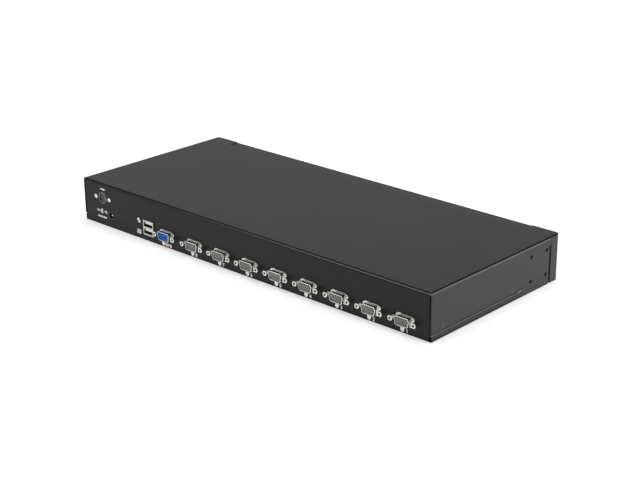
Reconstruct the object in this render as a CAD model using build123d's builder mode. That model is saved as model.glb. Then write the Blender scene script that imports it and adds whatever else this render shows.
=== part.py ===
"""Eight-port KVM switch in a one-unit rack case. Millimetres.

+Z is up, the connector panel faces +Y, the button panel faces -Y.
The origin is on the underside, in the middle of the case.
"""
import os
from math import radians, tan

from build123d import *

# Case
WIDTH = 440.0
DEPTH = 184.0
HEIGHT = 44.0
SHEET = 1.0
HALF = WIDTH / 2
FRONT = -DEPTH / 2
REAR = DEPTH / 2
BEND = 1.8                       # outside radius of the cover's bends
CORNER = 5.0                     # plan radius of the two front corners

# Where the cover meets the base along each side
LEDGE_Z = 6.2                    # top of the base's outer rail
SKIRT_Z = 7.3                    # lower edge of the cover, behind the relief
RELIEF_Y = -34.5                 # where the cover's side steps down to the floor
CURL_Y = RELIEF_Y + 7.5          # the seam is straight behind this
CURL_RISE = 2.2
SEAM = 0.2
INNER = HALF - SHEET - 0.3       # outside of the base's side flange
FLOOR_GAP = 0.3

# Rear panel
PANEL_Y = REAR - SHEET - 0.1     # outside face of the rear panel
PANEL_IN = PANEL_Y - SHEET
PANEL_HALF = HALF - 2.0
LIP_Z = HEIGHT - 2.4             # lower edge of the cover's rear lip

# Front bezel
BEZEL_BACK = FRONT + 14.1
BEZEL_SIDE_BACK = FRONT + 13.6
BEZEL_TOP = HEIGHT - SHEET - 0.1
LIP_TOP = HEIGHT - 0.7           # raised lip between the cover's two ends
CUT_BACK_Y = FRONT + 11.3        # cover's front edge between its ends
CUT_BACK_HALF = 190.0
LIP_GAP = 0.8
SIDE_EDGE_Y = FRONT + 16.2       # cover's side, lower part
SIDE_EDGE_TOP_Y = FRONT + 14.0   # cover's side, above the bracket step
SIDE_STEP_Z = 36.8
RECESS_Y = FRONT + 0.8
FACE_IN = FRONT + 2.8
WALL = 2.0
FRONT_WALL_Y = BEZEL_BACK + 0.3  # base's front flange, outside face

# Rack-bracket holes and cover screws
RACK_Y = (-71.6, -48.6)
RACK_Z = (10.5, 33.5)
RACK_HOLE_R = 1.65
SIDE_SCREWS = ((75.6, 11.0), (-22.3, 11.4))
TOP_SCREW = (-99.0, 86.5)
SCREW_R = 1.4
SCREW_HEAD_R = 2.3
HEAD_DEPTH = 0.9

# Main board
BOARD_T = 1.6
BOARD_TOP = 6.3
BOARD_BOTTOM = BOARD_TOP - BOARD_T
BOARD_HALF = 213.0
BOARD_FRONT = 12.0
BOARD_REAR = PANEL_IN - 0.5
STANDOFFS = [(x, y) for x in (-206.0, -70.0, 70.0, 206.0) for y in (18.0, 66.0)]

# Video ports
PORT_Z = 12.3
PORT_PITCH = 36.2
PORT_FIRST_X = -192.1
PORT_XS = [PORT_FIRST_X + PORT_PITCH * i for i in range(8)]
CONSOLE_X = 99.6
JACK_HALF = 12.5
FLANGE_W = 30.8
FLANGE_H = 11.8
FLANGE_T = 0.8
SHELL_W = 16.6
SHELL_H = 8.4
SHELL_T = 0.5
SHELL_R = 2.4
D_SLOPE = tan(radians(10.0))
SHELL_OUT = PANEL_Y + 4.9
CUTOUT_W = 21.8                  # D-shaped cutout in the panel
CUTOUT_H = 10.4
CUTOUT_R = 3.4
RIM_W = 0.6                      # raised rim of the flange, just inside the cutout
PIN_PITCH = 2.29
PIN_HOLE_R = 0.7
ROW_PITCH = 1.98
JACK_R = 2.35
JACK_LEN = 4.9
JACK_BORE_R = 1.42

# Stacked USB, power and link sockets
USB_X = 124.5
USB_W = 14.4
USB_LOW = BOARD_TOP
USB_HIGH = 21.2
USB_OUT = PANEL_Y + 1.2
USB_IN = PANEL_Y - 17.0
USB_BAY_W = 12.5
USB_BAY_H = 5.1
USB_BAY_Z = (10.3, 17.3)
POWER_X = 180.0
POWER_Z = 13.0
POWER_R = 3.1
LINK_X = 191.8
LINK_Z = 28.7
LINK_R = 5.6
LINK_WALL = 0.55
LINK_SCREW_HALF = 9.9

# Front buttons and lights
BUTTONS = 8
BUTTON_PITCH = 24.0
BUTTON_W = 12.0
BUTTON_H = 7.0
BUTTON_Z = 17.0
BUTTON_GAP = 0.3
LIGHT_Z = 29.0
LIGHT_R = 1.5
LIGHT_HALF = 3.0
POWER_LIGHT_X = 150.0
FRONT_BOARD_Y = FRONT + 8.3      # face that carries the switches
SWITCH_W = 6.0
SWITCH_L = 3.5
STEM_R = 1.4
BEZEL_BOSSES = [(x, 22.0) for x in (-180.0, -125.0, 125.0, 180.0)]
BOARD_POSTS = [(-98.0, 22.5), (98.0, 22.5)]
BUTTON_XS = [BUTTON_PITCH * (i - (BUTTONS - 1) / 2) for i in range(BUTTONS)]


def rear_plane(y):
    """Plane facing +Y: its x runs to -X, its y runs up."""
    return Plane(origin=(0, y, 0), x_dir=(-1, 0, 0), z_dir=(0, 1, 0))


def front_plane(y):
    """Plane facing -Y: its x runs to +X, its y runs up."""
    return Plane(origin=(0, y, 0), x_dir=(1, 0, 0), z_dir=(0, -1, 0))


def side_plane(x):
    """Plane facing +X: its x runs to +Y, its y runs up."""
    return Plane(origin=(x, 0, 0), x_dir=(0, 1, 0), z_dir=(1, 0, 0))


def side_face(side):
    """Outside face of one side of the case: its x runs to +Y on +X, its y runs up."""
    return Plane(origin=(side * HALF, 0, 0), x_dir=(0, side, 0), z_dir=(side, 0, 0))


def save(builder, label):
    builder.part.label = label
    export_step(builder.part, f"parts/{label}.step")


def d_outline(width, height, radius, inset=0.0):
    """D outline with its wide side up, centred on the origin and drawn in by inset."""
    top = width / 2 - inset
    half_h = height / 2 - inset
    bottom = top - 2 * half_h * D_SLOPE
    with BuildSketch() as outline:
        with BuildLine():
            Polyline((-top, half_h), (top, half_h), (bottom, -half_h), (-bottom, -half_h), close=True)
        make_face()
        fillet(outline.vertices(), radius - inset)
    return outline.sketch


def shell_outline(inset):
    return d_outline(SHELL_W, SHELL_H, SHELL_R, inset)


def cutout_outline(inset):
    return d_outline(CUTOUT_W, CUTOUT_H, CUTOUT_R, inset)


def cross_recess(size):
    """Cross of a screw's driver recess."""
    with BuildSketch() as cross:
        Rectangle(size, 0.28 * size)
        Rectangle(0.28 * size, size)
    return cross.sketch


def side_profile(rail):
    """Half of the base's bottom and side flange, seen along Y."""
    flange_top = 18.0 if rail else 38.0
    if rail:
        return [
            (0, 0), (HALF, 0), (HALF, LEDGE_Z - 0.7), (HALF - 0.7, LEDGE_Z), (INNER, LEDGE_Z),
            (INNER, flange_top), (INNER - SHEET, flange_top), (INNER - SHEET, LEDGE_Z - SHEET),
            (HALF - SHEET, LEDGE_Z - SHEET), (HALF - SHEET, SHEET), (0, SHEET),
        ]
    return [
        (0, 0), (INNER, 0), (INNER, flange_top), (INNER - SHEET, flange_top),
        (INNER - SHEET, SHEET), (0, SHEET),
    ]


def make_base_tray():
    rear_run = PANEL_Y - CURL_Y
    front_run = CURL_Y - FRONT_WALL_Y
    with BuildPart() as tray:
        for start, run, rail in ((PANEL_Y, rear_run, True), (CURL_Y, front_run, False)):
            with BuildSketch(front_plane(start)):
                with BuildLine():
                    Polyline(*side_profile(rail), close=True)
                make_face()
                mirror(about=Plane.YZ)
            extrude(amount=run)
        # front end of each rail, curling up
        for side in (-1, 1):
            with BuildSketch(side_plane(side * HALF)):
                with BuildLine():
                    Polyline(
                        (CURL_Y, LEDGE_Z), (CURL_Y, 0), (RELIEF_Y, 0), (RELIEF_Y, LEDGE_Z + CURL_RISE),
                    )
                    TangentArc((CURL_Y, LEDGE_Z), (RELIEF_Y, LEDGE_Z + CURL_RISE), tangent=(-1, 0))
                make_face()
            extrude(amount=-side * SHEET)
        with BuildSketch(rear_plane(PANEL_IN)):
            with Locations((0, (BEZEL_TOP - 0.1) / 2)):
                Rectangle(2 * PANEL_HALF, BEZEL_TOP - 0.1)
        extrude(amount=SHEET)
        with BuildSketch(front_plane(FRONT_WALL_Y + SHEET)):
            with Locations((0, 21.0)):
                Rectangle(2 * (INNER - SHEET), 42.0)
            with Locations((0, 23.0)):
                Rectangle(2 * 104.0, 28.0, mode=Mode.SUBTRACT)
            with Locations((POWER_LIGHT_X, LIGHT_Z)):
                Rectangle(14.0, 14.0, mode=Mode.SUBTRACT)
            with Locations(*BEZEL_BOSSES):
                Circle(1.2, mode=Mode.SUBTRACT)
        extrude(amount=SHEET)
        # tab under the cover's top screw
        with BuildSketch(Plane.XY.offset(BEZEL_TOP - SHEET)):
            with Locations((TOP_SCREW[0], PANEL_IN - 5.0)):
                Rectangle(14.0, 10.0)
        extrude(amount=SHEET - 0.1)
        with BuildSketch(rear_plane(PANEL_Y)):
            for x in PORT_XS + [CONSOLE_X]:
                with Locations((-x, PORT_Z)):
                    add(cutout_outline(0))
                with Locations((-x - JACK_HALF, PORT_Z), (-x + JACK_HALF, PORT_Z)):
                    Circle(1.6)
            with Locations((-USB_X, (USB_LOW + USB_HIGH) / 2)):
                RectangleRounded(USB_W + 0.6, USB_HIGH - USB_LOW + 0.6, 0.4)
            with Locations((-POWER_X, POWER_Z)):
                Circle(4.6)
            with Locations((-LINK_X, LINK_Z)):
                Circle(LINK_R + 0.2)
            with Locations((-LINK_X - LINK_SCREW_HALF, LINK_Z), (-LINK_X + LINK_SCREW_HALF, LINK_Z)):
                Circle(SCREW_R)
        extrude(amount=-SHEET, mode=Mode.SUBTRACT)
        with BuildSketch(side_plane(HALF)):
            with Locations(*[(y, z) for y in RACK_Y for z in RACK_Z]):
                Circle(RACK_HOLE_R)
            with Locations(*SIDE_SCREWS):
                Circle(SCREW_R)
        extrude(amount=-WIDTH, mode=Mode.SUBTRACT)
        with Locations((TOP_SCREW[0], TOP_SCREW[1], BEZEL_TOP)):
            Hole(SCREW_R, depth=4.0)
        with Locations(*[(x, y, SHEET) for x, y in STANDOFFS]):
            Hole(1.5, depth=2 * SHEET)
        low = tray.edges().filter_by(Axis.X).group_by(Axis.Z)[0].sort_by(Axis.Y)[-1]
        fillet(low, 0.9)
        outer = [e for e in tray.edges().filter_by(Axis.Y) if abs(e.center().X) > HALF - 0.1]
        fillet([e for e in outer if e.center().Z < 0.1], 0.9)
    save(tray, "base_tray")


def make_top_cover():
    with BuildPart() as cover:
        Box(WIDTH, DEPTH, HEIGHT, align=(Align.CENTER, Align.CENTER, Align.MIN))
        fillet(cover.edges().filter_by(Axis.Y).group_by(Axis.Z)[-1], BEND)
        fillet(cover.edges().filter_by(Axis.X).group_by(Axis.Z)[-1].sort_by(Axis.Y)[-1], BEND)
        # rounded front corners
        with BuildSketch(Plane.XY) as plan:
            Rectangle(WIDTH, DEPTH)
            fillet(plan.vertices().group_by(Axis.Y)[0], CORNER)
        extrude(amount=HEIGHT, mode=Mode.INTERSECT)
        # hollow out, leaving the sheet
        with BuildSketch(Plane.XY):
            with Locations((0, (REAR - SHEET + FRONT - 1) / 2)):
                Rectangle(WIDTH - 2 * SHEET, REAR - SHEET - FRONT + 1)
        extrude(amount=HEIGHT - SHEET, mode=Mode.SUBTRACT)
        # rear below the lip, the two open rear corners, and the skirt cut
        with BuildSketch(rear_plane(REAR + 1)):
            with Locations((0, LIP_Z / 2)):
                Rectangle(2 * (HALF - SHEET), LIP_Z)
        extrude(amount=-(SHEET + 1.5), mode=Mode.SUBTRACT)
        with BuildSketch(side_plane(HALF + 1)):
            with BuildLine():
                Polyline(
                    (CURL_Y, SKIRT_Z), (REAR + 1, SKIRT_Z), (REAR + 1, -1), (RELIEF_Y - SEAM, -1),
                    (RELIEF_Y - SEAM, SKIRT_Z + CURL_RISE),
                )
                TangentArc((CURL_Y, SKIRT_Z), (RELIEF_Y - SEAM, SKIRT_Z + CURL_RISE), tangent=(-1, 0))
            make_face()
            with Locations(((REAR + 1 + REAR - 0.6) / 2, LIP_Z / 2)):
                Rectangle(1.6, LIP_Z)
            # front of the sides, leaving the groove beside the bezel
            with BuildLine():
                Polyline(
                    (FRONT - 1, -1), (SIDE_EDGE_Y, -1), (SIDE_EDGE_Y, SIDE_STEP_Z),
                    (SIDE_EDGE_TOP_Y, SIDE_STEP_Z), (SIDE_EDGE_TOP_Y, HEIGHT - SHEET),
                    (FRONT - 1, HEIGHT - SHEET), close=True,
                )
            make_face()
            with Locations((0, FLOOR_GAP / 2)):
                Rectangle(DEPTH, FLOOR_GAP)
            with Locations(*[(y, z) for y in RACK_Y for z in RACK_Z]):
                Circle(RACK_HOLE_R)
            with Locations(*SIDE_SCREWS):
                Circle(SCREW_R + 0.1)
        extrude(amount=-(WIDTH + 2), mode=Mode.SUBTRACT)
        rims = [e for e in cover.edges().filter_by(GeomType.CIRCLE) if abs(e.radius - RACK_HOLE_R) < 0.01]
        chamfer([e for e in rims if abs(abs(e.center().X) - HALF) < 0.01], 0.35)
        # front edge cut back between the two ends
        with BuildSketch(Plane.XY.offset(HEIGHT - 2 * SHEET)) as notch:
            with Locations((0, (FRONT - 2 + CUT_BACK_Y) / 2)):
                Rectangle(2 * CUT_BACK_HALF, CUT_BACK_Y - FRONT + 2)
            fillet(notch.vertices().group_by(Axis.Y)[-1], 3.0)
        extrude(amount=3 * SHEET, mode=Mode.SUBTRACT)
        with Locations((TOP_SCREW[0], TOP_SCREW[1], HEIGHT)):
            CounterSinkHole(SCREW_R + 0.1, SCREW_HEAD_R, depth=4.0)
        for side in (-1, 1):
            with Locations(side_face(side)):
                with Locations(*[(side * y, z, 0) for y, z in SIDE_SCREWS]):
                    Cone(
                        SCREW_R + 0.1, SCREW_HEAD_R, HEAD_DEPTH,
                        align=(Align.CENTER, Align.CENTER, Align.MAX), mode=Mode.SUBTRACT,
                    )
    save(cover, "top_cover")


def make_front_bezel():
    depth = BEZEL_SIDE_BACK - FRONT
    with BuildPart() as bezel:
        with BuildSketch(Plane.XY.offset(FLOOR_GAP)) as plan:
            with Locations((0, FRONT + depth / 2)):
                Rectangle(WIDTH, depth)
            fillet(plan.vertices().group_by(Axis.Y)[0], CORNER)
        extrude(amount=BEZEL_TOP - FLOOR_GAP)
        with BuildSketch(Plane.XY.offset(FLOOR_GAP)):
            with Locations((0, (BEZEL_SIDE_BACK + BEZEL_BACK) / 2)):
                Rectangle(2 * (HALF - 2.0), BEZEL_BACK - BEZEL_SIDE_BACK)
        extrude(amount=BEZEL_TOP - FLOOR_GAP)
        # raised lip between the cover's two ends
        with BuildSketch(Plane.XY.offset(BEZEL_TOP)) as lip:
            with Locations((0, (FRONT + CUT_BACK_Y - LIP_GAP) / 2)):
                Rectangle(2 * (CUT_BACK_HALF - LIP_GAP), CUT_BACK_Y - LIP_GAP - FRONT)
            fillet(lip.vertices().group_by(Axis.Y)[-1], 2.4)
        extrude(amount=LIP_TOP - BEZEL_TOP)
        # open back
        with BuildSketch(front_plane(BEZEL_BACK)):
            with Locations((0, (FLOOR_GAP + BEZEL_TOP) / 2)):
                Rectangle(WIDTH - 2 * (CORNER + 1), BEZEL_TOP - FLOOR_GAP - 2 * WALL)
        extrude(amount=BEZEL_BACK - FACE_IN, mode=Mode.SUBTRACT)
        # shallow recess of the control panel
        with BuildSketch(front_plane(FRONT)):
            with Locations((0, 22.0)):
                RectangleRounded(404.0, 32.0, 3.0)
        extrude(amount=-(RECESS_Y - FRONT), mode=Mode.SUBTRACT)
        # button windows and light holes
        with BuildSketch(front_plane(FRONT)):
            for x in BUTTON_XS:
                with Locations((x, BUTTON_Z)):
                    RectangleRounded(BUTTON_W + 2 * BUTTON_GAP, BUTTON_H + 2 * BUTTON_GAP, 1.3)
                with Locations((x - LIGHT_HALF, LIGHT_Z), (x + LIGHT_HALF, LIGHT_Z)):
                    Circle(LIGHT_R + 0.15)
            with Locations((POWER_LIGHT_X, LIGHT_Z)):
                Circle(LIGHT_R + 0.15)
        extrude(amount=-(FACE_IN - FRONT), mode=Mode.SUBTRACT)
        # bosses for the screws through the base's front flange and for the front board
        with BuildSketch(front_plane(FACE_IN - 0.3)):
            with Locations(*BEZEL_BOSSES):
                Circle(3.5)
                Circle(1.2, mode=Mode.SUBTRACT)
        extrude(amount=-(BEZEL_BACK - FACE_IN + 0.3))
        with BuildSketch(front_plane(FACE_IN - 0.3)):
            with Locations(*BOARD_POSTS):
                Circle(2.4)
                Circle(1.0, mode=Mode.SUBTRACT)
        extrude(amount=-(FRONT_BOARD_Y - FACE_IN + 0.3))
    save(bezel, "front_bezel")


def make_main_board():
    with BuildPart() as board:
        with BuildSketch(Plane.XY.offset(BOARD_BOTTOM)):
            with Locations((0, (BOARD_FRONT + BOARD_REAR) / 2)):
                Rectangle(2 * BOARD_HALF, BOARD_REAR - BOARD_FRONT)
            with Locations(*STANDOFFS):
                Circle(1.6, mode=Mode.SUBTRACT)
        extrude(amount=BOARD_T)
    save(board, "main_board")
    with BuildPart() as standoffs:
        with BuildSketch(Plane.XY.offset(SHEET)):
            with Locations(*STANDOFFS):
                RegularPolygon(3.2, 6)
        extrude(amount=BOARD_BOTTOM - SHEET)
        with BuildSketch(Plane.XY.offset(SHEET)):
            with Locations(*STANDOFFS):
                Circle(1.3)
        extrude(amount=BOARD_BOTTOM - SHEET, mode=Mode.SUBTRACT)
    save(standoffs, "standoffs")
    with BuildPart() as screws:
        with Locations(*[(x, y, BOARD_TOP) for x, y in STANDOFFS]):
            Cylinder(2.8, 1.6, align=(Align.CENTER, Align.CENTER, Align.MIN))
            Cylinder(1.2, 4.0, align=(Align.CENTER, Align.CENTER, Align.MAX))
        fillet(screws.edges().filter_by(GeomType.CIRCLE).group_by(Axis.Z)[-1], 0.6)
    save(screws, "board_screws")


def make_video_port(x, shell_name, insert_name):
    """One socket: metal shell with its flange, and the insulator it holds."""
    with BuildPart() as shell:
        with BuildSketch(rear_plane(PANEL_IN)):
            with Locations((-x, PORT_Z)):
                RectangleRounded(FLANGE_W, FLANGE_H, 1.0)
                add(shell_outline(SHELL_T), mode=Mode.SUBTRACT)
            with Locations((-x - JACK_HALF, PORT_Z), (-x + JACK_HALF, PORT_Z)):
                Circle(1.6, mode=Mode.SUBTRACT)
        extrude(amount=-FLANGE_T)
        with BuildSketch(rear_plane(PANEL_IN)):
            with Locations((-x, PORT_Z)):
                add(cutout_outline(0.15))
                add(cutout_outline(0.15 + RIM_W), mode=Mode.SUBTRACT)
                add(shell_outline(SHELL_T), mode=Mode.SUBTRACT)
        extrude(amount=SHEET - 0.05)
        with BuildSketch(rear_plane(PANEL_IN)):
            with Locations((-x, PORT_Z)):
                add(shell_outline(0))
                add(shell_outline(SHELL_T), mode=Mode.SUBTRACT)
        extrude(amount=SHELL_OUT - PANEL_IN)
        rim = shell.faces().filter_by(Axis.Y).sort_by(Axis.Y)[-1]
        fillet(rim.outer_wire().edges(), 0.2)
    save(shell, shell_name)
    face = SHELL_OUT - 0.9
    with BuildPart() as insert:
        with BuildSketch(rear_plane(PANEL_IN - FLANGE_T)):
            with Locations((-x, PORT_Z)):
                add(shell_outline(SHELL_T + 0.2))
        extrude(amount=face - PANEL_IN + FLANGE_T)
        with BuildSketch(rear_plane(PANEL_IN - FLANGE_T)):
            with Locations((-x, (BOARD_TOP + PORT_Z + 6.0) / 2)):
                Rectangle(20.0, PORT_Z + 6.0 - BOARD_TOP)
        extrude(amount=-9.0)
        with BuildSketch(rear_plane(face)):
            for row, shift in ((1, 0.0), (0, PIN_PITCH / 2), (-1, 0.0)):
                offset_x = shift - PIN_PITCH / 4
                holes = [(-x + offset_x + PIN_PITCH * (k - 2), PORT_Z + row * ROW_PITCH) for k in range(5)]
                with Locations(*holes):
                    Circle(PIN_HOLE_R)
        extrude(amount=-4.0, mode=Mode.SUBTRACT)
    save(insert, insert_name)


def make_jackscrews():
    spots = [(-x + s * JACK_HALF, PORT_Z) for x in PORT_XS + [CONSOLE_X] for s in (-1, 1)]
    with BuildPart() as jacks:
        with BuildSketch(rear_plane(PANEL_Y)):
            with Locations(*spots):
                RegularPolygon(JACK_R, 6, major_radius=False)
        extrude(amount=JACK_LEN)
        chamfer(jacks.edges().group_by(Axis.Y)[-1], 0.35)
        with BuildSketch(rear_plane(PANEL_Y)):
            with Locations(*spots):
                Circle(1.45)
        extrude(amount=-4.0)
        with BuildSketch(rear_plane(PANEL_Y + JACK_LEN)):
            with Locations(*spots):
                Circle(JACK_BORE_R)
        extrude(amount=-(JACK_LEN - 0.4), mode=Mode.SUBTRACT)
    save(jacks, "jackscrews")


def make_usb_stack():
    mid_z = (USB_LOW + USB_HIGH) / 2
    with BuildPart() as shell:
        with BuildSketch(rear_plane(USB_OUT)):
            with Locations((-USB_X, mid_z)):
                RectangleRounded(USB_W, USB_HIGH - USB_LOW, 0.6)
        extrude(amount=-(USB_OUT - USB_IN))
        with BuildSketch(rear_plane(USB_OUT)):
            for z in USB_BAY_Z:
                with Locations((-USB_X, z)):
                    Rectangle(USB_BAY_W, USB_BAY_H)
        extrude(amount=-(USB_OUT - USB_IN - 2.0), mode=Mode.SUBTRACT)
    save(shell, "usb_shell")
    with BuildPart() as tongues:
        with BuildSketch(rear_plane(USB_IN + 2.0)):
            for z in USB_BAY_Z:
                with Locations((-USB_X, z + 0.8)):
                    Rectangle(11.1, 1.9)
        extrude(amount=USB_OUT - USB_IN - 2.0 - 1.4)
    save(tongues, "usb_tongues")


def make_power_socket():
    with BuildPart() as body:
        with BuildSketch(rear_plane(PANEL_IN)):
            with Locations((-POWER_X, (BOARD_TOP + POWER_Z + 4.7) / 2)):
                Rectangle(9.4, POWER_Z + 4.7 - BOARD_TOP)
        extrude(amount=-13.5)
        with BuildSketch(rear_plane(PANEL_IN)):
            with Locations((-POWER_X, POWER_Z)):
                Circle(4.3)
        extrude(amount=SHEET + 0.3)
        with BuildSketch(rear_plane(PANEL_Y + 0.3)):
            with Locations((-POWER_X, POWER_Z)):
                Circle(POWER_R)
        extrude(amount=-11.0, mode=Mode.SUBTRACT)
    save(body, "power_socket_body")
    with BuildPart() as pin:
        with BuildSketch(rear_plane(PANEL_Y + 0.3 - 11.0)):
            with Locations((-POWER_X, POWER_Z)):
                Circle(1.0)
        extrude(amount=10.0)
        fillet(pin.edges().filter_by(GeomType.CIRCLE).group_by(Axis.Y)[-1], 0.5)
    save(pin, "power_socket_pin")


def make_link_socket():
    spot = (-LINK_X, LINK_Z)
    with BuildPart() as ring:
        with BuildSketch(rear_plane(PANEL_IN)):
            with Locations(spot):
                SlotCenterToCenter(2 * LINK_SCREW_HALF, 7.0)
                Circle(7.0)
            with Locations(spot):
                Circle(LINK_R - LINK_WALL, mode=Mode.SUBTRACT)
            with Locations((-LINK_X - LINK_SCREW_HALF, LINK_Z), (-LINK_X + LINK_SCREW_HALF, LINK_Z)):
                Circle(1.25, mode=Mode.SUBTRACT)
        extrude(amount=-1.0)
        with BuildSketch(rear_plane(PANEL_IN)):
            with Locations(spot):
                Circle(LINK_R)
                Circle(LINK_R - LINK_WALL, mode=Mode.SUBTRACT)
        extrude(amount=SHEET + 0.5)
    save(ring, "link_socket_shell")
    with BuildPart() as insert:
        with BuildSketch(rear_plane(PANEL_IN - 8.0)):
            with Locations(spot):
                Circle(LINK_R - LINK_WALL - 0.05)
        extrude(amount=8.0 + SHEET - 1.0)
        with BuildSketch(rear_plane(PANEL_IN + SHEET - 1.0)):
            with Locations((-LINK_X - 2.2, LINK_Z + 1.2), (-LINK_X + 2.2, LINK_Z + 1.2),
                           (-LINK_X - 1.3, LINK_Z - 2.2), (-LINK_X + 1.3, LINK_Z - 2.2)):
                Circle(0.55)
            with Locations((-LINK_X, LINK_Z + 0.2)):
                Rectangle(1.2, 2.2)
        extrude(amount=-5.0, mode=Mode.SUBTRACT)
    save(insert, "link_socket_insert")
    with BuildPart() as screws:
        with BuildSketch(rear_plane(PANEL_Y)):
            with Locations((-LINK_X - LINK_SCREW_HALF, LINK_Z), (-LINK_X + LINK_SCREW_HALF, LINK_Z)):
                Circle(2.1)
        extrude(amount=0.9)
        fillet(screws.edges().filter_by(GeomType.CIRCLE).group_by(Axis.Y)[-1], 0.5)
        with BuildSketch(rear_plane(PANEL_Y)):
            with Locations((-LINK_X - LINK_SCREW_HALF, LINK_Z), (-LINK_X + LINK_SCREW_HALF, LINK_Z)):
                Circle(1.2)
        extrude(amount=-4.0)
        with BuildSketch(rear_plane(PANEL_Y + 0.9)):
            with Locations((-LINK_X - LINK_SCREW_HALF, LINK_Z), (-LINK_X + LINK_SCREW_HALF, LINK_Z)):
                add(cross_recess(2.6))
        extrude(amount=-0.7, mode=Mode.SUBTRACT)
    save(screws, "link_socket_screws")


def make_link_harness():
    """Four wires from the round socket down to a header on the main board."""
    start_y = PANEL_IN - 8.0
    with BuildPart() as wires:
        for k in range(4):
            x = LINK_X + 1.6 * (k - 1.5)
            with BuildLine():
                FilletPolyline(
                    (x, start_y, LINK_Z), (x, start_y - 12, LINK_Z), (x, start_y - 22, 17),
                    (x, start_y - 22, BOARD_TOP + 5.0), radius=4.0,
                )
            with BuildSketch(Plane(origin=(x, start_y, LINK_Z), z_dir=(0, -1, 0))):
                Circle(0.6)
            sweep()
    save(wires, "link_harness")


def make_ribbon_cable():
    """Flat cable from the main board's header to the back of the front board."""
    back = FRONT_BOARD_Y + BOARD_T
    with BuildPart() as ribbon:
        with BuildSketch(side_plane(-12.5)):
            with BuildLine():
                FilletPolyline(
                    (BOARD_FRONT + 9, BOARD_TOP + 5.0), (BOARD_FRONT + 9, 15.5), (-10, 15.5),
                    (-62, 12.0), (-72, 23.0), (back + 6.0, 23.0), radius=3.0,
                )
            trace(line_width=0.9)
        extrude(amount=25.0)
    save(ribbon, "ribbon_cable")
    with BuildPart() as headers:
        with Locations((0, BOARD_FRONT + 9, BOARD_TOP)):
            Box(30.0, 6.0, 5.0, align=(Align.CENTER, Align.CENTER, Align.MIN))
        with Locations((LINK_X, PANEL_IN - 30.0, BOARD_TOP)):
            Box(10.0, 5.0, 5.0, align=(Align.CENTER, Align.CENTER, Align.MIN))
        with Locations((0, back, 23.0)):
            Box(30.0, 6.0, 6.0, align=(Align.CENTER, Align.MIN, Align.CENTER))
    save(headers, "board_headers")


def make_board_components():
    chip_bottom = (Align.CENTER, Align.CENTER, Align.MIN)
    with BuildPart() as chips:
        with Locations((40, 36, BOARD_TOP)):
            Box(20.0, 20.0, 1.6, align=chip_bottom)
        with Locations((-40, 36, BOARD_TOP)):
            Box(14.0, 14.0, 1.4, align=chip_bottom)
        with Locations(*[(x, 58, BOARD_TOP) for x in PORT_XS]):
            Box(8.0, 6.0, 1.5, align=chip_bottom)
        with Locations(*[(x, 42, BOARD_TOP) for x in PORT_XS]):
            Box(5.0, 4.0, 1.5, align=chip_bottom)
    save(chips, "switching_chips")
    with BuildPart() as caps:
        with Locations(*[(x, y, BOARD_TOP) for x in (150, 162) for y in (66, 52)]):
            Cylinder(4.0, 10.5, align=chip_bottom)
        fillet(caps.edges().filter_by(GeomType.CIRCLE).group_by(Axis.Z)[-1], 0.5)
    save(caps, "capacitors")


def make_front_board():
    with BuildPart() as board:
        with BuildSketch(front_plane(FRONT_BOARD_Y)):
            with Locations((0, 22.5)):
                Rectangle(204.0, 26.0)
            with Locations((POWER_LIGHT_X - 25, 30)):
                Rectangle(56.0, 8.0)
            with Locations(BEZEL_BOSSES[2]):
                Circle(4.0, mode=Mode.SUBTRACT)
            with Locations(*BOARD_POSTS):
                Circle(1.1, mode=Mode.SUBTRACT)
        extrude(amount=-BOARD_T)
    save(board, "front_board")
    with BuildPart() as switches:
        with BuildSketch(front_plane(FRONT_BOARD_Y)):
            for x in BUTTON_XS:
                with Locations((x, BUTTON_Z)):
                    Rectangle(SWITCH_W, SWITCH_W)
        extrude(amount=SWITCH_L)
        with BuildSketch(front_plane(FRONT_BOARD_Y - SWITCH_L)):
            for x in BUTTON_XS:
                with Locations((x, BUTTON_Z)):
                    Circle(STEM_R + 0.3)
        extrude(amount=-2.2, mode=Mode.SUBTRACT)
    save(switches, "tact_switches")


def make_lights():
    groups = {
        "status_lights": [x - LIGHT_HALF for x in BUTTON_XS] + [POWER_LIGHT_X],
        "selection_lights": [x + LIGHT_HALF for x in BUTTON_XS],
    }
    for name, xs in groups.items():
        with BuildPart() as lights:
            with BuildSketch(front_plane(FRONT_BOARD_Y)):
                with Locations(*[(x, LIGHT_Z) for x in xs]):
                    Circle(LIGHT_R + 0.3)
            extrude(amount=1.2)
            with BuildSketch(front_plane(FRONT_BOARD_Y)):
                with Locations(*[(x, LIGHT_Z) for x in xs]):
                    Circle(LIGHT_R)
            extrude(amount=FRONT_BOARD_Y - RECESS_Y + 0.6)
            fillet(lights.edges().filter_by(GeomType.CIRCLE).group_by(Axis.Y)[0], 1.0)
        save(lights, name)


def make_button(number, x):
    """Cap with a retaining flange behind the bezel and the stem that works the switch."""
    flange_front = FACE_IN + 0.2
    with BuildPart() as button:
        with BuildSketch(front_plane(flange_front)):
            with Locations((x, BUTTON_Z)):
                RectangleRounded(BUTTON_W, BUTTON_H, 1.0)
        extrude(amount=flange_front - FRONT - 0.1)
        fillet(button.edges().group_by(Axis.Y)[0], 0.4)
        with BuildSketch(front_plane(flange_front)):
            with Locations((x, BUTTON_Z)):
                Rectangle(BUTTON_W + 2.4, BUTTON_H + 2.4)
        extrude(amount=-1.0)
        with BuildSketch(front_plane(flange_front + 1.0)):
            with Locations((x, BUTTON_Z)):
                Circle(STEM_R)
        extrude(amount=-2.2)
    save(button, f"port_button_{number}")


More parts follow.
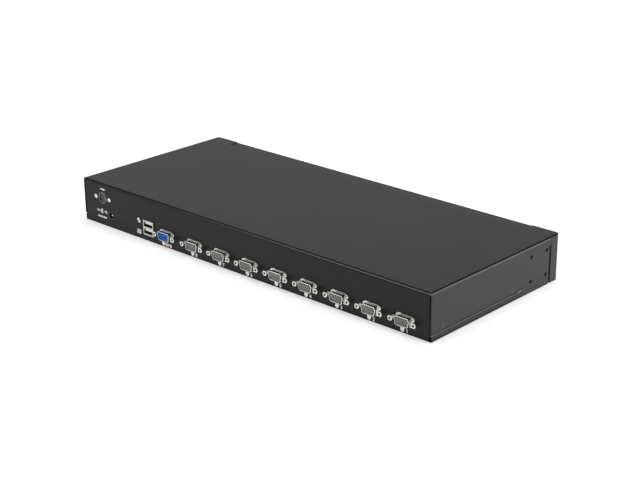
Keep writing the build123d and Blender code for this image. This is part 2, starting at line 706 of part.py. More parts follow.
def make_fasteners():
    hang = (Align.CENTER, Align.CENTER, Align.MAX)
    with BuildPart() as nuts:
        for side in (-1, 1):
            with BuildSketch(side_plane(side * (INNER - SHEET))):
                with Locations(*[(y, z) for y in RACK_Y for z in RACK_Z]):
                    Circle(3.6)
                    Circle(RACK_HOLE_R, mode=Mode.SUBTRACT)
            extrude(amount=-side * 2.6)
    save(nuts, "clinch_nuts")
    with BuildPart() as screws:
        for side in (-1, 1):
            with Locations(side_face(side)):
                with Locations(*[(side * y, z, 0) for y, z in SIDE_SCREWS]):
                    Cone(SCREW_R - 0.1, SCREW_HEAD_R - 0.3, HEAD_DEPTH, align=hang)
                    Cylinder(SCREW_R - 0.1, 5.0, align=hang)
        with Locations((TOP_SCREW[0], TOP_SCREW[1], HEIGHT)):
            Cone(SCREW_R - 0.1, SCREW_HEAD_R - 0.3, HEAD_DEPTH, align=hang)
            Cylinder(SCREW_R - 0.1, 5.0, align=hang)
        for side in (-1, 1):
            with BuildSketch(side_face(side)):
                with Locations(*[(side * y, z) for y, z in SIDE_SCREWS]):
                    add(cross_recess(2.6))
            extrude(amount=-0.6, mode=Mode.SUBTRACT)
        with BuildSketch(Plane.XY.offset(HEIGHT)):
            with Locations(TOP_SCREW):
                add(cross_recess(2.6))
        extrude(amount=-0.6, mode=Mode.SUBTRACT)
    save(screws, "cover_screws")
    with BuildPart() as front_screws:
        with BuildSketch(rear_plane(FRONT_WALL_Y + SHEET)):
            with Locations(*BEZEL_BOSSES):
                Circle(2.8)
        extrude(amount=1.4)
        with BuildSketch(rear_plane(FRONT_WALL_Y + SHEET)):
            with Locations(*BEZEL_BOSSES):
                Circle(1.1)
        extrude(amount=-6.0)
        with BuildSketch(rear_plane(FRONT_BOARD_Y + BOARD_T)):
            with Locations(*BOARD_POSTS):
                Circle(2.2)
        extrude(amount=1.0)
        with BuildSketch(rear_plane(FRONT_BOARD_Y + BOARD_T)):
            with Locations(*BOARD_POSTS):
                Circle(0.9)
        extrude(amount=-4.5)
    save(front_screws, "front_screws")


os.makedirs("parts", exist_ok=True)
make_base_tray()
make_top_cover()
make_front_bezel()
make_main_board()
for index, port_x in enumerate(PORT_XS, start=1):
    make_video_port(port_x, f"port_{index}_shell", f"port_{index}_insert")
make_video_port(CONSOLE_X, "console_port_shell", "console_port_insert")
make_jackscrews()
make_usb_stack()
make_power_socket()
make_link_socket()
make_link_harness()
make_ribbon_cable()
make_board_components()
make_front_board()
make_lights()
for index, button_x in enumerate(BUTTON_XS, start=1):
    make_button(index, button_x)
make_fasteners()
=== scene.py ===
"""Looks of the eight-port KVM switch: materials, printed marks and fine metalwork around the CAD frame.

Metres. +Z is up, the connector panel faces +Y, the button panel faces -Y.
"""
import math

import bmesh
import bpy
from mathutils import Matrix, Vector


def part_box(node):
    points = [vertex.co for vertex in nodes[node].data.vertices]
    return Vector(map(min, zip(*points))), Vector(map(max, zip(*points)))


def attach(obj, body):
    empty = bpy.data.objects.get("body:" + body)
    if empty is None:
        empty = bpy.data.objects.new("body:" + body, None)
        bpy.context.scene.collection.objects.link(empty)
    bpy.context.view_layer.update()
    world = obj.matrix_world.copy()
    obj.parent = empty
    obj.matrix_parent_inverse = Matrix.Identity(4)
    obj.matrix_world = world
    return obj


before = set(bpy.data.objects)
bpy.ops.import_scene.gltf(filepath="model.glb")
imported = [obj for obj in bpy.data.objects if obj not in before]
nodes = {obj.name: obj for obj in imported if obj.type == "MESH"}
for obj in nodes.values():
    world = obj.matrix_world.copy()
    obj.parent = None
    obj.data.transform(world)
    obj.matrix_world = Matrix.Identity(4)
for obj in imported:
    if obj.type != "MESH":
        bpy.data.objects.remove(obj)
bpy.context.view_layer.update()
MM = 0.001
CASE = "case"
PORTS = 8

# ---------------------------------------------------------------- places read from the frame
TRAY_LOW, TRAY_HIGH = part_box("base_tray")
PANEL_Y = TRAY_HIGH.y
BEZEL_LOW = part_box("front_bezel")[0]
RECESS_Y = BEZEL_LOW.y + 0.8 * MM

# ---------------------------------------------------------------- sizes
PRINT_T = 0.04 * MM
JACK_HALF = 12.5 * MM
TONGUE_T = 1.9 * MM
# where the patches of painted shade and painted highlight begin
COVER_BEND_X = 217.8 * MM
COVER_BEND_Y = 89.9 * MM
LIP_GAP_Z = 43.1 * MM
LIP_FRONT_Y = -91.0 * MM
FOOT_Z = 1.5 * MM
PANEL_EDGE_X = 217.2 * MM
PANEL_EDGE_Y = 89.0 * MM
RAIL_FACE_X = 219.9 * MM
RAIL_FACE_Z = 2.0 * MM
RAIL_TOP_X = 218.9 * MM
RAIL_TOP_Z = 5.6 * MM
# printed marks: lines in mm, and shares of a figure's height
BUTTON_MARK_Z = 34.4
LIGHT_MARK_Z = 24.4
LIGHT_MARK_X = 3.0
POWER_LIGHT_X = 150.0
MOUSE_TURN = math.radians(35)
CAP_HEIGHT = 0.72
FIGURE_WEIGHT = 0.085
DISC_SIDES = 20
RING_SIDES = 28
ARC_SIDES = 18


def centre(node):
    low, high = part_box(node)
    return (low + high) / 2


PORT_NODES = [f"port_{i + 1}" for i in range(PORTS)] + ["console_port"]


# ---------------------------------------------------------------- materials
def new_material(name):
    material = bpy.data.materials.new(name)
    material.use_nodes = True
    tree = material.node_tree
    return material, tree, tree.nodes["Principled BSDF"]


def noise(tree, scale, detail=3.0):
    coords = tree.nodes.new("ShaderNodeTexCoord")
    texture = tree.nodes.new("ShaderNodeTexNoise")
    texture.inputs["Scale"].default_value = scale
    texture.inputs["Detail"].default_value = detail
    tree.links.new(coords.outputs["Object"], texture.inputs["Vector"])
    return texture.outputs["Fac"]


def ramp(tree, source, low, high, start=0.35, end=0.65):
    node = tree.nodes.new("ShaderNodeValToRGB")
    node.color_ramp.elements[0].position = start
    node.color_ramp.elements[0].color = (*low, 1)
    node.color_ramp.elements[1].position = end
    node.color_ramp.elements[1].color = (*high, 1)
    tree.links.new(source, node.inputs["Fac"])
    return node.outputs["Color"]


def grey_ramp(tree, source, stops, tint=(1.0, 1.0, 1.0)):
    """A colour ramp through (position, grey level) stops."""
    node = tree.nodes.new("ShaderNodeValToRGB")
    elements = node.color_ramp.elements
    while len(elements) < len(stops):
        elements.new(0.5)
    for element, (position, level) in zip(elements, stops):
        element.position = position
        element.color = (*(level * part for part in tint), 1)
    tree.links.new(source, node.inputs["Fac"])
    return node.outputs["Color"]


def spread(tree, source, low, high):
    node = tree.nodes.new("ShaderNodeMapRange")
    node.inputs["From Min"].default_value = 0.3
    node.inputs["From Max"].default_value = 0.7
    node.inputs["To Min"].default_value = low
    node.inputs["To Max"].default_value = high
    tree.links.new(source, node.inputs["Value"])
    return node.outputs["Result"]


def add_relief(tree, shader, height, depth):
    """Fine relief, depth in mm."""
    bump = tree.nodes.new("ShaderNodeBump")
    bump.inputs["Distance"].default_value = depth * MM
    tree.links.new(height, bump.inputs["Height"])
    tree.links.new(bump.outputs["Normal"], shader.inputs["Normal"])


def surface(name, colour, roughness, grain, relief, vary, metallic=0.0, specular=0.5, coat=0.0):
    """A material with colour, roughness and fine relief varied by noise."""
    material, tree, shader = new_material(name)
    shader.inputs["Metallic"].default_value = metallic
    shader.inputs["Specular IOR Level"].default_value = specular
    shader.inputs["Coat Weight"].default_value = coat
    cloud = noise(tree, 25.0)
    fine = noise(tree, grain, 2.0)
    dark = [c * (1 - vary) for c in colour]
    light = [min(1.0, c * (1 + vary)) for c in colour]
    tree.links.new(ramp(tree, cloud, dark, light), shader.inputs["Base Color"])
    tree.links.new(spread(tree, fine, roughness * 0.9, min(1.0, roughness * 1.1)), shader.inputs["Roughness"])
    add_relief(tree, shader, fine, relief)
    return material


def maths(tree, operation, first, second, third=None):
    """One arithmetic node; each value is a number or another node's output."""
    node = tree.nodes.new("ShaderNodeMath")
    node.operation = operation
    for socket, value in zip(node.inputs, (first, second, third)):
        if isinstance(value, (int, float)):
            socket.default_value = value
        elif value is not None:
            tree.links.new(value, socket)
    return node.outputs["Value"]


def painted(name, stops, roughness, specular, shades, grain=1400.0, relief=0.006):
    """Paint with painted light: its colour follows how far the surface faces up, as painted shade and painted
    highlight on the bends.

    stops holds (upward part of the normal, grey level) pairs from -1 to 1, which paint the shade and
    highlight of the bends. shades holds (where, grey level) pairs of painted shade and painted highlight:
    where takes the tree, the position and the normal and returns a factor from 0 to 1.
    """
    material, tree, shader = new_material(name)
    shader.inputs["Specular IOR Level"].default_value = specular
    geometry = tree.nodes.new("ShaderNodeNewGeometry")
    split = tree.nodes.new("ShaderNodeSeparateXYZ")
    tree.links.new(geometry.outputs["Normal"], split.inputs["Vector"])
    upward = tree.nodes.new("ShaderNodeMapRange")
    upward.inputs["From Min"].default_value = -1.0
    tree.links.new(split.outputs["Z"], upward.inputs["Value"])
    # grey levels by facing: painted shade and painted highlight on the bends
    positions = [((facing + 1) / 2, level) for facing, level in stops]
    band = grey_ramp(tree, upward.outputs["Result"], positions, (1.0, 0.99, 1.03))
    mottle = tree.nodes.new("ShaderNodeMix")
    mottle.data_type = "RGBA"
    mottle.blend_type = "MULTIPLY"
    mottle.inputs["Factor"].default_value = 1.0
    tree.links.new(band, mottle.inputs["A"])
    tree.links.new(ramp(tree, noise(tree, 25.0), (0.94, 0.94, 0.94), (1, 1, 1)), mottle.inputs["B"])
    coords = tree.nodes.new("ShaderNodeTexCoord")
    place = tree.nodes.new("ShaderNodeSeparateXYZ")
    tree.links.new(coords.outputs["Object"], place.inputs["Vector"])
    colour = mottle.outputs["Result"]
    # patches of painted shade and painted highlight, placed by position and facing
    for where, level in shades:
        patch = tree.nodes.new("ShaderNodeMix")
        patch.data_type = "RGBA"
        patch.inputs["B"].default_value = (level, level, level, 1)
        tree.links.new(where(tree, place.outputs, split.outputs), patch.inputs["Factor"])
        tree.links.new(colour, patch.inputs["A"])
        colour = patch.outputs["Result"]
    tree.links.new(colour, shader.inputs["Base Color"])
    fine = noise(tree, grain, 2.0)
    tree.links.new(spread(tree, fine, roughness * 0.9, roughness * 1.1), shader.inputs["Roughness"])
    add_relief(tree, shader, fine, relief)
    return material


def circuit_board_material():
    """Green mask with lighter copper tracks running in two directions."""
    material, tree, shader = new_material("circuit_board")
    coords = tree.nodes.new("ShaderNodeTexCoord")
    bands = tree.nodes.new("ShaderNodeTexBrick")
    bands.inputs["Scale"].default_value = 60.0
    bands.inputs["Color1"].default_value = (0.008, 0.085, 0.03, 1)
    bands.inputs["Color2"].default_value = (0.012, 0.11, 0.04, 1)
    bands.inputs["Mortar"].default_value = (0.03, 0.2, 0.07, 1)
    bands.inputs["Mortar Size"].default_value = 0.02
    tree.links.new(coords.outputs["Object"], bands.inputs["Vector"])
    tree.links.new(bands.outputs["Color"], shader.inputs["Base Color"])
    tree.links.new(spread(tree, noise(tree, 300.0), 0.3, 0.45), shader.inputs["Roughness"])
    return material


def ribbon_material():
    """Grey flat cable: parallel wires across X."""
    material, tree, shader = new_material("ribbon_cable")
    coords = tree.nodes.new("ShaderNodeTexCoord")
    wires = tree.nodes.new("ShaderNodeTexWave")
    wires.inputs["Scale"].default_value = 125.0
    wires.bands_direction = "X"
    tree.links.new(coords.outputs["Object"], wires.inputs["Vector"])
    stripes = ramp(tree, wires.outputs["Fac"], (0.2, 0.2, 0.21), (0.45, 0.45, 0.46))
    tree.links.new(stripes, shader.inputs["Base Color"])
    add_relief(tree, shader, wires.outputs["Fac"], 0.3)
    shader.inputs["Roughness"].default_value = 0.5
    return material


def dress(material, *names):
    for name in names:
        slots = nodes[name].data.materials
        slots.clear()
        slots.append(material)


# Masks of painted shade and painted highlight for painted(): each returns a factor from 0 to 1.
def above(tree, value, limit):
    return maths(tree, "GREATER_THAN", value, limit)


def below(tree, value, limit):
    return maths(tree, "LESS_THAN", value, limit)


def both(tree, first, second):
    return maths(tree, "MULTIPLY", first, second)


def either(tree, first, second):
    return maths(tree, "MAXIMUM", first, second)


def from_middle(tree, place):
    return maths(tree, "ABSOLUTE", place["X"], 0.0)


def cover_bends(tree, place, normal):
    """Painted shade along the bends of the top, and on the cut edges that face the rear; on the rear bend it
    grows towards +X.
    """
    near_side = above(tree, from_middle(tree, place), COVER_BEND_X)
    near_rear = above(tree, place["Y"], COVER_BEND_Y)
    on_top = above(tree, normal["Z"], 0.72)
    edge = both(tree, either(tree, near_side, near_rear), on_top)
    facing_rear = above(tree, normal["Y"], 0.97)
    rear_bend = above(tree, normal["Y"], 0.5)
    toward_link = maths(tree, "MULTIPLY_ADD", place["X"], 2.6, 0.45)
    fade = maths(tree, "MINIMUM", either(tree, toward_link, 0.1), 0.85)
    return either(tree, either(tree, edge, facing_rear), both(tree, rear_bend, fade))


def bezel_gap(tree, place, normal):
    """Painted shade in the gap behind the raised lip, and along the lip's front edge."""
    patch = either(tree, below(tree, place["Z"], LIP_GAP_Z), below(tree, place["Y"], LIP_FRONT_Y))
    return both(tree, patch, above(tree, normal["Z"], 0.9))


def tray_foot(tree, place, normal):
    """Painted shade along the bottom bends and the two upright edges of the rear panel."""
    at_edge = above(tree, from_middle(tree, place), PANEL_EDGE_X)
    upright = both(tree, at_edge, above(tree, place["Y"], PANEL_EDGE_Y))
    return either(tree, below(tree, place["Z"], FOOT_Z), upright)


def tray_side(tree, place, normal):
    """Painted light: the outer face of the two rails, above the bottom bend, paler than the rest of the tray.
    """
    outside = above(tree, from_middle(tree, place), RAIL_FACE_X)
    return both(tree, outside, above(tree, place["Z"], RAIL_FACE_Z))


def tray_rail(tree, place, normal):
    """Painted highlight along the top edge of the two outer rails."""
    outside = above(tree, from_middle(tree, place), RAIL_TOP_X)
    raised = maths(tree, "MULTIPLY_ADD", normal["Z"], 1.2 * MM, place["Z"])
    return both(tree, outside, above(tree, raised, RAIL_TOP_Z))


# Grey levels by the upward part of the normal: painted shade on faces turned down and, on the cover and
# bezel, on the upper part of the bends; on the cover a painted highlight on their lower part. The shade lists
# add patches of painted shade and painted highlight.
COVER_STOPS = [(-1, 0.003), (-0.3, 0.003), (-0.05, 0.052), (0.03, 0.052), (0.08, 0.14), (0.66, 0.14),
               (0.74, 0.002), (0.97, 0.002), (0.99, 0.041), (1, 0.041)]
TRAY_STOPS = [(-1, 0.001), (-0.1, 0.001), (-0.03, 0.018), (1, 0.018)]
BEZEL_STOPS = [(-1, 0.003), (-0.3, 0.003), (-0.05, 0.048), (0.05, 0.048), (0.3, 0.003), (0.95, 0.003),
               (0.99, 0.05), (1, 0.05)]
COVER = painted("cover_paint", COVER_STOPS, 0.42, 0.15, [(cover_bends, 0.001)])
TRAY_SHADES = [(tray_foot, 0.0006), (tray_side, 0.042), (tray_rail, 0.19)]
TRAY = painted("tray_paint", TRAY_STOPS, 0.24, 0.12, TRAY_SHADES)
BEZEL = painted("bezel_plastic", BEZEL_STOPS, 0.48, 0.2, [(bezel_gap, 0.001)], 2200.0, 0.012)
BUTTON = surface("button_plastic", (0.11, 0.11, 0.115), 0.42, 2500.0, 0.006, 0.04)
NICKEL = surface("nickel_plate", (0.84, 0.83, 0.80), 0.18, 1800.0, 0.004, 0.05, metallic=1.0)
# a darker, shaded copy of the nickel: painted shade on the link socket's shell and in the jackscrew bores
SHADED_NICKEL = surface("nickel_shaded", (0.25, 0.245, 0.24), 0.28, 1800.0, 0.004, 0.08, metallic=1.0)
USB_STEEL = surface("usb_steel", (0.50, 0.49, 0.475), 0.24, 1500.0, 0.004, 0.04, metallic=1.0)
ZINC = surface("zinc_plate", (0.62, 0.63, 0.64), 0.3, 900.0, 0.004, 0.06, metallic=1.0)
GREY_INSERT = surface("insert_grey", (0.21, 0.22, 0.215), 0.42, 2400.0, 0.006, 0.05, specular=0.3)
BLUE_INSERT = surface("insert_blue", (0.0, 0.125, 0.44), 0.38, 2400.0, 0.006, 0.05, specular=0.25)
USB_WHITE = surface("usb_tongue_white", (0.8, 0.8, 0.77), 0.4, 2400.0, 0.006, 0.04)
SOCKET_BLACK = surface("socket_black", (0.012, 0.012, 0.012), 0.35, 2400.0, 0.006, 0.05)
SCREW_BLACK = surface("screw_black", (0.13, 0.13, 0.135), 0.25, 1500.0, 0.005, 0.08, metallic=1.0)
GOLD = surface("contact_gold", (0.85, 0.6, 0.25), 0.2, 2000.0, 0.002, 0.04, metallic=1.0)
INK = surface("print_white", (0.82, 0.82, 0.80), 0.55, 3000.0, 0.004, 0.04)
CHIP = surface("chip_epoxy", (0.025, 0.025, 0.027), 0.55, 3000.0, 0.01, 0.06)
SLEEVE = surface("capacitor_sleeve", (0.02, 0.02, 0.045), 0.25, 1500.0, 0.004, 0.05)
WIRE = surface("wire_vinyl", (0.08, 0.08, 0.085), 0.45, 1500.0, 0.004, 0.05)
GREEN_LENS = surface("lens_green", (0.10, 0.34, 0.12), 0.12, 900.0, 0.002, 0.05, coat=0.6)
AMBER_LENS = surface("lens_amber", (0.55, 0.27, 0.05), 0.12, 900.0, 0.002, 0.05, coat=0.6)
BOARD = circuit_board_material()

dress(COVER, "top_cover")
dress(TRAY, "base_tray")
dress(BEZEL, "front_bezel")
dress(BUTTON, *[f"port_button_{i + 1}" for i in range(PORTS)])
dress(NICKEL, *[f"{p}_shell" for p in PORT_NODES], "jackscrews", "link_socket_screws")
dress(SHADED_NICKEL, "link_socket_shell")
dress(USB_STEEL, "usb_shell")
dress(GREY_INSERT, *[f"port_{i + 1}_insert" for i in range(PORTS)])
dress(BLUE_INSERT, "console_port_insert")
dress(USB_WHITE, "usb_tongues")
dress(WIRE, "link_socket_insert")
dress(SOCKET_BLACK, "power_socket_body", "tact_switches", "board_headers")
dress(ZINC, "standoffs", "board_screws", "clinch_nuts", "front_screws", "power_socket_pin")
dress(SCREW_BLACK, "cover_screws")
dress(BOARD, "main_board", "front_board")
dress(CHIP, "switching_chips")
dress(SLEEVE, "capacitors")
dress(WIRE, "link_harness")
dress(ribbon_material(), "ribbon_cable")
dress(GREEN_LENS, "status_lights")
dress(AMBER_LENS, "selection_lights")


# ---------------------------------------------------------------- mesh helpers
def finish_piece(name, bm, material, body=CASE):
    bmesh.ops.recalc_face_normals(bm, faces=bm.faces)
    mesh = bpy.data.meshes.new(name)
    bm.to_mesh(mesh)
    bm.free()
    piece = bpy.data.objects.new(name, mesh)
    bpy.context.scene.collection.objects.link(piece)
    mesh.materials.append(material)
    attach(piece, body)


class Panel:
    """A flat side of the case that marks are printed on. u runs to the reader's right, v runs up."""

    def __init__(self, facing, y):
        self.y = y
        self.facing = facing
        self.right = -1 if facing > 0 else 1
        self.bm = bmesh.new()

    def point(self, x, z, height):
        return Vector((x * MM, self.y + self.facing * height, z * MM))

    def prism(self, outline):
        """A thin closed plate over an outline of (x, z) points in mm."""
        count = len(outline)
        back = [self.bm.verts.new(self.point(x, z, 0.0)) for x, z in outline]
        front = [self.bm.verts.new(self.point(x, z, PRINT_T)) for x, z in outline]
        self.bm.faces.new(back[::-1])
        self.bm.faces.new(front)
        for i in range(count):
            j = (i + 1) % count
            self.bm.faces.new((back[i], back[j], front[j], front[i]))

    def band(self, outer, inner):
        """A thin closed frame between two outlines with the same number of points."""
        count = len(outer)
        rings = []
        for outline, height in ((outer, 0.0), (outer, PRINT_T), (inner, PRINT_T), (inner, 0.0)):
            rings.append([self.bm.verts.new(self.point(x, z, height)) for x, z in outline])
        for a, b in zip(rings, rings[1:] + rings[:1]):
            for i in range(count):
                j = (i + 1) % count
                self.bm.faces.new((a[i], a[j], b[j], b[i]))

    def rect(self, x, z, w, h):
        outline = [(-w / 2, -h / 2), (w / 2, -h / 2), (w / 2, h / 2), (-w / 2, h / 2)]
        self.prism([(x + self.right * a, z + b) for a, b in outline])

    def disc(self, x, z, r):
        self.prism(circle(x, z, r, DISC_SIDES))

    def ring(self, x, z, r, line):
        self.band(circle(x, z, r, RING_SIDES), circle(x, z, r - line, RING_SIDES))

    def arc(self, x, z, r, line, start, sweep):
        """Part of a ring, from start through sweep degrees, anticlockwise for the reader."""
        angles = [math.radians(start + sweep * k / ARC_SIDES) for k in range(ARC_SIDES + 1)]
        outer = [(x + self.right * r * math.cos(a), z + r * math.sin(a)) for a in angles]
        inner = [(x + self.right * (r - line) * math.cos(a), z + (r - line) * math.sin(a)) for a in angles]
        self.prism(outer + inner[::-1])

    def monitor(self, x, z, size):
        self.prism(rounded(x, z + 0.16 * size, 1.15 * size, 0.72 * size, 0.1 * size))
        self.rect(x, z - 0.27 * size, 0.3 * size, 0.14 * size)
        self.rect(x, z - 0.42 * size, 0.8 * size, 0.16 * size)

    def keyboard(self, x, z, w, h):
        self.band(rounded(x, z, w, h, 0.2 * h), rounded(x, z, 0.9 * w, 0.72 * h, 0.1 * h))
        for row in (0.17, -0.17):
            for k in range(5):
                self.rect(x + (k - 2) * 0.165 * w, z + row * h, 0.12 * w, 0.24 * h)

    def mouse(self, x, z, size, turn):
        """A filled oval with a thin split between its two keys."""
        c, s = math.cos(turn), math.sin(turn)
        for half in (0, 180):
            points = []
            for k in range(13):
                a = math.radians(half + 4 + 172 * k / 12)
                points.append((0.36 * size * math.cos(a), 0.52 * size * math.sin(a)))
            self.prism([(x + self.right * (c * a - s * b), z + s * a + c * b) for a, b in points])

    def digit(self, text, x, z, height):
        """A figure set in Blender's own plain type."""
        curve = bpy.data.curves.new("figure", "FONT")
        curve.body = text
        curve.size = height / CAP_HEIGHT
        curve.align_x = "CENTER"
        curve.align_y = "CENTER"
        curve.offset = FIGURE_WEIGHT
        curve.extrude = 0.5
        curve.resolution_u = 4
        holder = bpy.data.objects.new("figure", curve)
        bpy.context.scene.collection.objects.link(holder)
        bpy.context.view_layer.update()
        graph = bpy.context.evaluated_depsgraph_get()
        mesh = bpy.data.meshes.new_from_object(holder.evaluated_get(graph))
        for vertex in mesh.vertices:
            a, b, depth = vertex.co
            vertex.co = self.point(x + self.right * a, z + b, PRINT_T if depth > 0 else 0.0)
        self.bm.from_mesh(mesh)
        bpy.data.objects.remove(holder)
        bpy.data.curves.remove(curve)
        bpy.data.meshes.remove(mesh)

    def done(self, name):
        """Turns the marks so far into one piece and starts the next."""
        bmesh.ops.remove_doubles(self.bm, verts=self.bm.verts, dist=1e-7)
        finish_piece(name, self.bm, INK)
        self.bm = bmesh.new()


def circle(x, z, r, sides):
    angles = [2 * math.pi * k / sides for k in range(sides)]
    return [(x + r * math.cos(a), z + r * math.sin(a)) for a in angles]


def rounded(x, z, w, h, r):
    """Outline of a rounded rectangle."""
    points = []
    right, top = w / 2 - r, h / 2 - r
    left, bottom = r - w / 2, r - h / 2
    for cx, cz, start in ((right, top, 0), (left, top, 90), (left, bottom, 180), (right, bottom, 270)):
        for k in range(5):
            a = math.radians(start + 22.5 * k)
            points.append((x + cx + r * math.cos(a), z + cz + r * math.sin(a)))
    return points


# ---------------------------------------------------------------- printed marks
def rear_marks():
    panel = Panel(1, PANEL_Y)
    for i in range(PORTS):
        x = centre(f"port_{i + 1}_shell").x / MM
        panel.monitor(x + 2.6, 3.1, 3.5)
        panel.digit(str(i + 1), x - 2.5, 3.0, 3.4)
    panel.done("port_number_marks")
    x = centre("console_port_shell").x / MM
    panel.monitor(x + 5.0, 3.0, 3.4)
    panel.keyboard(x, 3.0, 5.0, 3.0)
    panel.mouse(x - 5.0, 3.0, 3.6, MOUSE_TURN)
    panel.done("console_marks")
    x = centre("usb_shell").x / MM + 14.6
    panel.mouse(x, 18.4, 5.0, MOUSE_TURN)
    panel.keyboard(x + 0.2, 7.0, 6.0, 4.2)
    panel.done("usb_marks")
    power = centre("power_socket_pin")
    x, z = power.x / MM + 14.0, power.z / MM
    panel.ring(x + 6.0, z + 1.6, 1.5, 0.6)
    panel.rect(x + 3.6, z + 1.6, 1.6, 0.6)
    panel.arc(x, z + 1.6, 2.4, 0.8, 50, 260)
    panel.disc(x, z + 1.6, 1.0)
    panel.rect(x - 3.4, z + 1.6, 1.6, 0.6)
    panel.ring(x - 6.0, z + 1.6, 1.5, 0.6)
    panel.rect(x - 6.0, z + 1.6, 0.5, 1.4)
    for k in range(5):
        panel.rect(x + 2.7 * (k - 2), z - 4.4, 2.1, 1.6)
    panel.done("power_marks")
    link = centre("link_socket_insert")
    panel.rect(link.x / MM, link.z / MM + 8.8, 6.4, 1.3)
    panel.done("link_marks")


def front_marks():
    panel = Panel(-1, RECESS_Y)
    for i in range(PORTS):
        x = centre(f"port_button_{i + 1}").x / MM
        panel.digit(str(i + 1), x, BUTTON_MARK_Z, 3.0)
        panel.rect(x - LIGHT_MARK_X, LIGHT_MARK_Z, 1.6, 0.35)
        panel.ring(x + LIGHT_MARK_X, LIGHT_MARK_Z, 0.8, 0.3)
    panel.done("button_number_marks")
    panel.arc(POWER_LIGHT_X, BUTTON_MARK_Z, 1.6, 0.4, 120, 300)
    panel.rect(POWER_LIGHT_X, 35.5, 0.4, 1.7)
    panel.done("power_light_mark")


# ---------------------------------------------------------------- fine metalwork
def ring(bm, x, z, profile, sides):
    """A closed ring turned round a line along Y; profile is a loop of (radius, y) in metres."""
    loops = []
    for k in range(sides):
        a = 2 * math.pi * k / sides
        loops.append([bm.verts.new((x + r * math.cos(a), y, z + r * math.sin(a))) for r, y in profile])
    for one, two in zip(loops, loops[1:] + loops[:1]):
        for i in range(len(profile)):
            j = (i + 1) % len(profile)
            bm.faces.new((one[i], one[j], two[j], two[i]))


def block(bm, low, high):
    """A closed box between two corners."""
    middle = (Vector(low) + Vector(high)) / 2
    size = Vector(high) - Vector(low)
    place = Matrix.Translation(middle) @ Matrix.Diagonal((*size, 1))
    bmesh.ops.create_cube(bm, size=1.0, matrix=place)


def port_contacts():
    """The fifteen sleeves of each video port, sunk in the insulator's holes."""
    pitch, row_pitch = 2.29 * MM, 1.98 * MM
    bore, radius = 0.25 * MM, 0.5 * MM
    bm = bmesh.new()
    for port in PORT_NODES:
        middle = centre(f"{port}_shell")
        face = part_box(f"{port}_insert")[1].y
        back, front = face - 3.9 * MM, face - 3.0 * MM
        profile = [(bore, back), (radius, back), (radius, front), (bore, front)]
        for row, shift in ((1, 0.0), (0, 0.5), (-1, 0.0)):
            for k in range(5):
                x = middle.x - (shift - 0.25 + k - 2) * pitch
                z = middle.z + row * row_pitch
                ring(bm, x, z, profile, 12)
    finish_piece("port_contacts", bm, GOLD)


def jackscrew_threads():
    """A ridged liner in each jackscrew's bore, in the darker nickel as painted shade."""
    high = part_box("jackscrews")[1]
    pitch = 0.64 * MM
    turns = 6
    bm = bmesh.new()
    start = high.y - 0.25 * MM - turns * pitch
    profile = [(1.4 * MM, start), (1.4 * MM, start + turns * pitch)]
    for k in range(turns, 0, -1):
        profile.append((1.36 * MM, start + k * pitch))
        profile.append((1.08 * MM, start + (k - 0.5) * pitch))
    profile.append((1.36 * MM, start))
    for port in PORT_NODES:
        middle = centre(f"{port}_shell")
        for side in (-1, 1):
            ring(bm, middle.x + side * JACK_HALF, middle.z, profile, 20)
    finish_piece("jackscrew_threads", bm, SHADED_NICKEL)


def usb_contacts():
    """Four contact strips along the lower face of each tongue."""
    low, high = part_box("usb_tongues")
    bm = bmesh.new()
    middle = (low.x + high.x) / 2
    pitch, half = 2.25, 0.5 * MM
    for bottom in (low.z, high.z - TONGUE_T):
        for k in range(4):
            x = middle + (k - 1.5) * pitch * MM
            rear = (x - half, high.y - 9.0 * MM, bottom - 0.15 * MM)
            front = (x + half, high.y - 0.5 * MM, bottom + 0.02 * MM)
            block(bm, rear, front)
    finish_piece("usb_contacts", bm, GOLD)


rear_marks()
front_marks()
port_contacts()
jackscrew_threads()
usb_contacts()


# ---------------------------------------------------------------- camera, light and stage
AZIMUTH, ELEVATION, DISTANCE = 221.716, 20.839, 1.34335
TARGET = Vector((-0.0449, 0.0, 0.02484))
LENS = 81.73
SHIFT = (-0.0386, -0.0093)


def place_camera():
    a, e = math.radians(AZIMUTH), math.radians(ELEVATION)
    back = Vector((math.sin(a) * math.cos(e), -math.cos(a) * math.cos(e), math.sin(e)))
    data = bpy.data.cameras.new("camera")
    data.lens = LENS
    data.sensor_width = 36.0
    data.shift_x, data.shift_y = SHIFT
    data.clip_end = 60.0
    camera = bpy.data.objects.new("camera", data)
    camera.location = TARGET + back * DISTANCE
    camera.rotation_euler = back.to_track_quat("Z", "Y").to_euler()
    bpy.context.scene.collection.objects.link(camera)
    bpy.context.scene.camera = camera


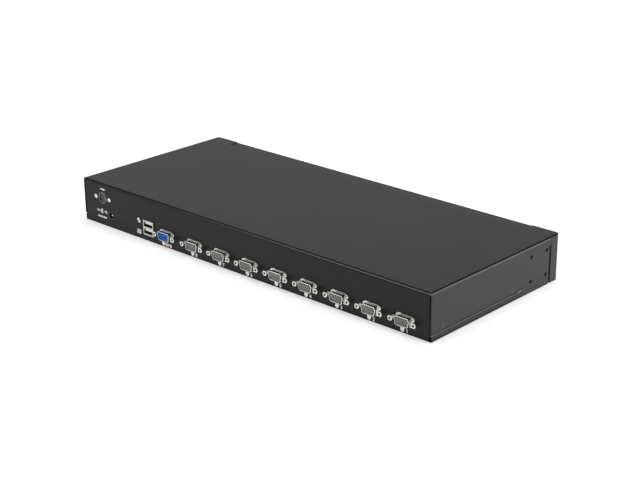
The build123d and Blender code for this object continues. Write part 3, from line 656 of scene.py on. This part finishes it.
def softbox(name, location, target, size, power):
    data = bpy.data.lights.new(name, "AREA")
    data.shape = "RECTANGLE"
    data.size, data.size_y = size
    data.energy = power
    light = bpy.data.objects.new(name, data)
    light.location = location
    light.rotation_euler = (Vector(location) - Vector(target)).to_track_quat("Z", "Y").to_euler()
    bpy.context.scene.collection.objects.link(light)


def studio():
    world = bpy.data.worlds.new("studio")
    bpy.context.scene.world = world
    world.use_nodes = True
    tree = world.node_tree
    background = tree.nodes["Background"]
    coords = tree.nodes.new("ShaderNodeTexCoord")
    split = tree.nodes.new("ShaderNodeSeparateXYZ")
    tree.links.new(coords.outputs["Generated"], split.inputs["Vector"])
    stops = [(0.0, 1.0), (0.10, 1.0), (0.30, 0.66), (0.42, 0.32), (0.60, 0.18), (0.85, 0.25), (1.0, 0.6)]
    tree.links.new(grey_ramp(tree, split.outputs["Z"], stops), background.inputs["Color"])
    background.inputs["Strength"].default_value = 1.0
    softbox("overhead", (0.0, -0.2, 2.2), (0, 0, 0), (1.6, 1.6), 22.0)
    softbox("right_strip", (-1.7, -1.1, 0.35), (0, 0, 0.02), (1.2, 0.7), 9.0)
    softbox("left_strip", (1.2, 1.9, 0.25), (0.0, 0, 0.02), (0.8, 0.35), 5.0)


def stage_floor():
    size = 30.0
    bm = bmesh.new()
    bmesh.ops.create_grid(bm, x_segments=8, y_segments=8, size=size)
    mesh = bpy.data.meshes.new("floor")
    bm.to_mesh(mesh)
    bm.free()
    floor = bpy.data.objects.new("floor", mesh)
    floor.location.z = TRAY_LOW.z
    bpy.context.scene.collection.objects.link(floor)
    material, tree, shader = new_material("floor_white")
    white = ramp(tree, noise(tree, 2.0), (0.93, 0.93, 0.93), (0.95, 0.95, 0.95))
    tree.links.new(white, shader.inputs["Base Color"])
    shader.inputs["Roughness"].default_value = 0.9
    shader.inputs["Specular IOR Level"].default_value = 0.1
    shader.inputs["Emission Color"].default_value = (1, 1, 1, 1)
    shader.inputs["Emission Strength"].default_value = 0.45
    mesh.materials.append(material)


place_camera()
studio()
stage_floor()
bpy.context.scene.view_settings.view_transform = "Standard"
